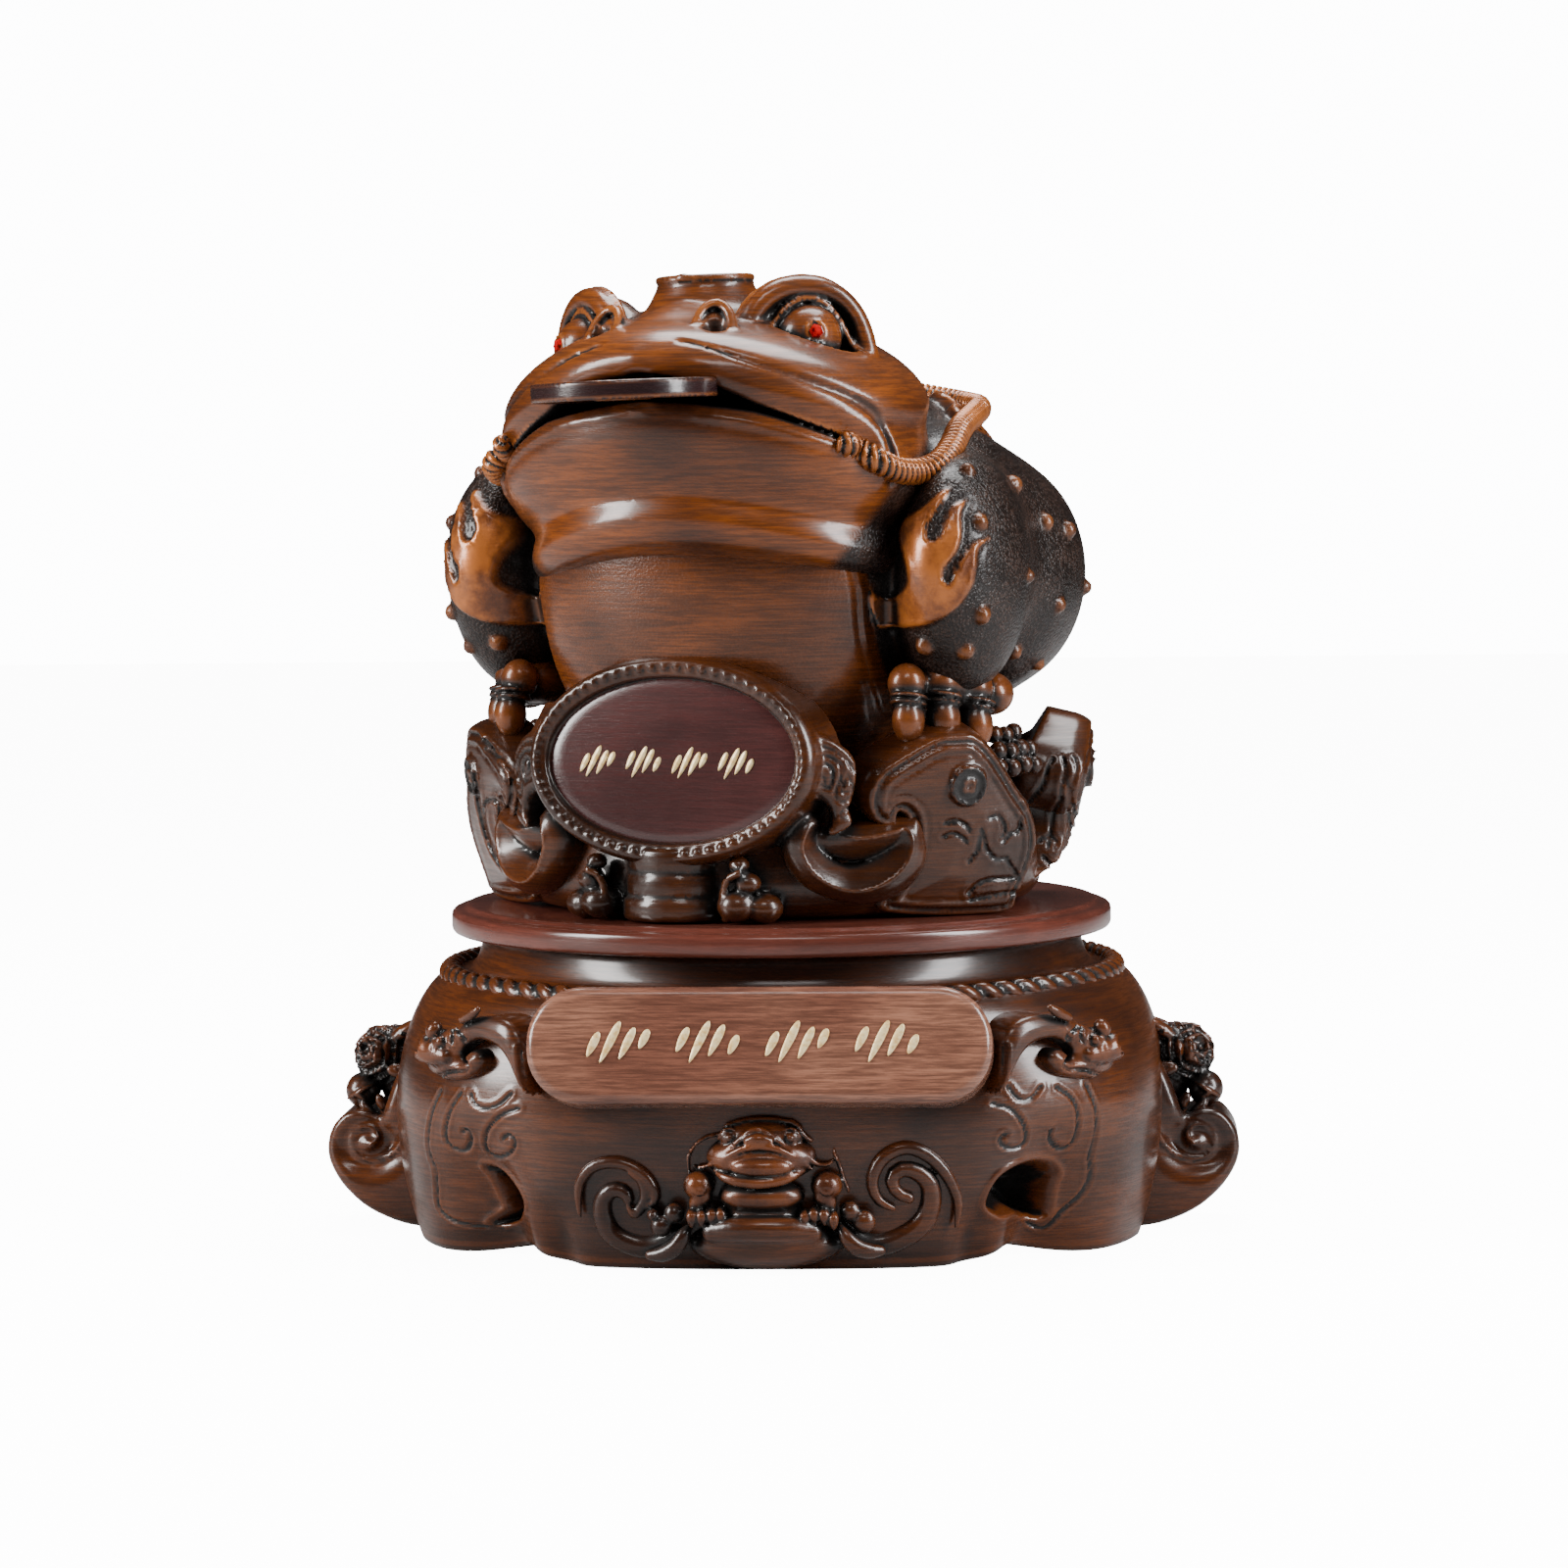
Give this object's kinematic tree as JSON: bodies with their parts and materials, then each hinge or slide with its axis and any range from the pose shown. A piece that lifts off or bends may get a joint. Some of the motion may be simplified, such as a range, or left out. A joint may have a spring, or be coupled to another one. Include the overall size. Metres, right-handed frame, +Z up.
{
  "type": "money toad figure",
  "caption": "Cast money toad holding a coin in its mouth, squatting on a ring of scroll ingots that turns on a disc over a wide carved pedestal.",
  "frame": {"origin": "middle of the pedestal's underside, on the axis that the disc turns about", "axes": "+Z up along the disc's axis, -Y out of the pedestal's front with the name board, +X to the right as seen from the front"},
  "size_m": [0.305, 0.2456, 0.3153],
  "materials": {
    "walnut_cast": "cast resin in a satin walnut brown with wood grain, dark hollows and rubbed copper high spots",
    "disc_cast": "smooth satin red-brown with faint grain",
    "coin_cast": "smooth satin dark purple-brown",
    "red_stone": "clear red faceted stone with a dark backing"
  },
  "bodies": {
    "pedestal": {"pedestal": "walnut_cast"},
    "turntable": {"turntable_disc": "disc_cast", "toad_figure": "walnut_cast", "mouth_coin": "coin_cast", "eye_gem_left": "red_stone", "eye_gem_right": "red_stone", "back_gem_1": "red_stone", "back_gem_2": "red_stone", "back_gem_3": "red_stone", "back_gem_4": "red_stone", "back_gem_5": "red_stone", "back_gem_6": "red_stone", "back_gem_7": "red_stone"}
  },
  "joints": [
    {"name": "turntable_spin", "type": "hinge", "parent": "pedestal", "child": "turntable", "pos_m": [0, 0, 0.0993], "axis": [0, 0, 1], "continuous": true}
  ]
}
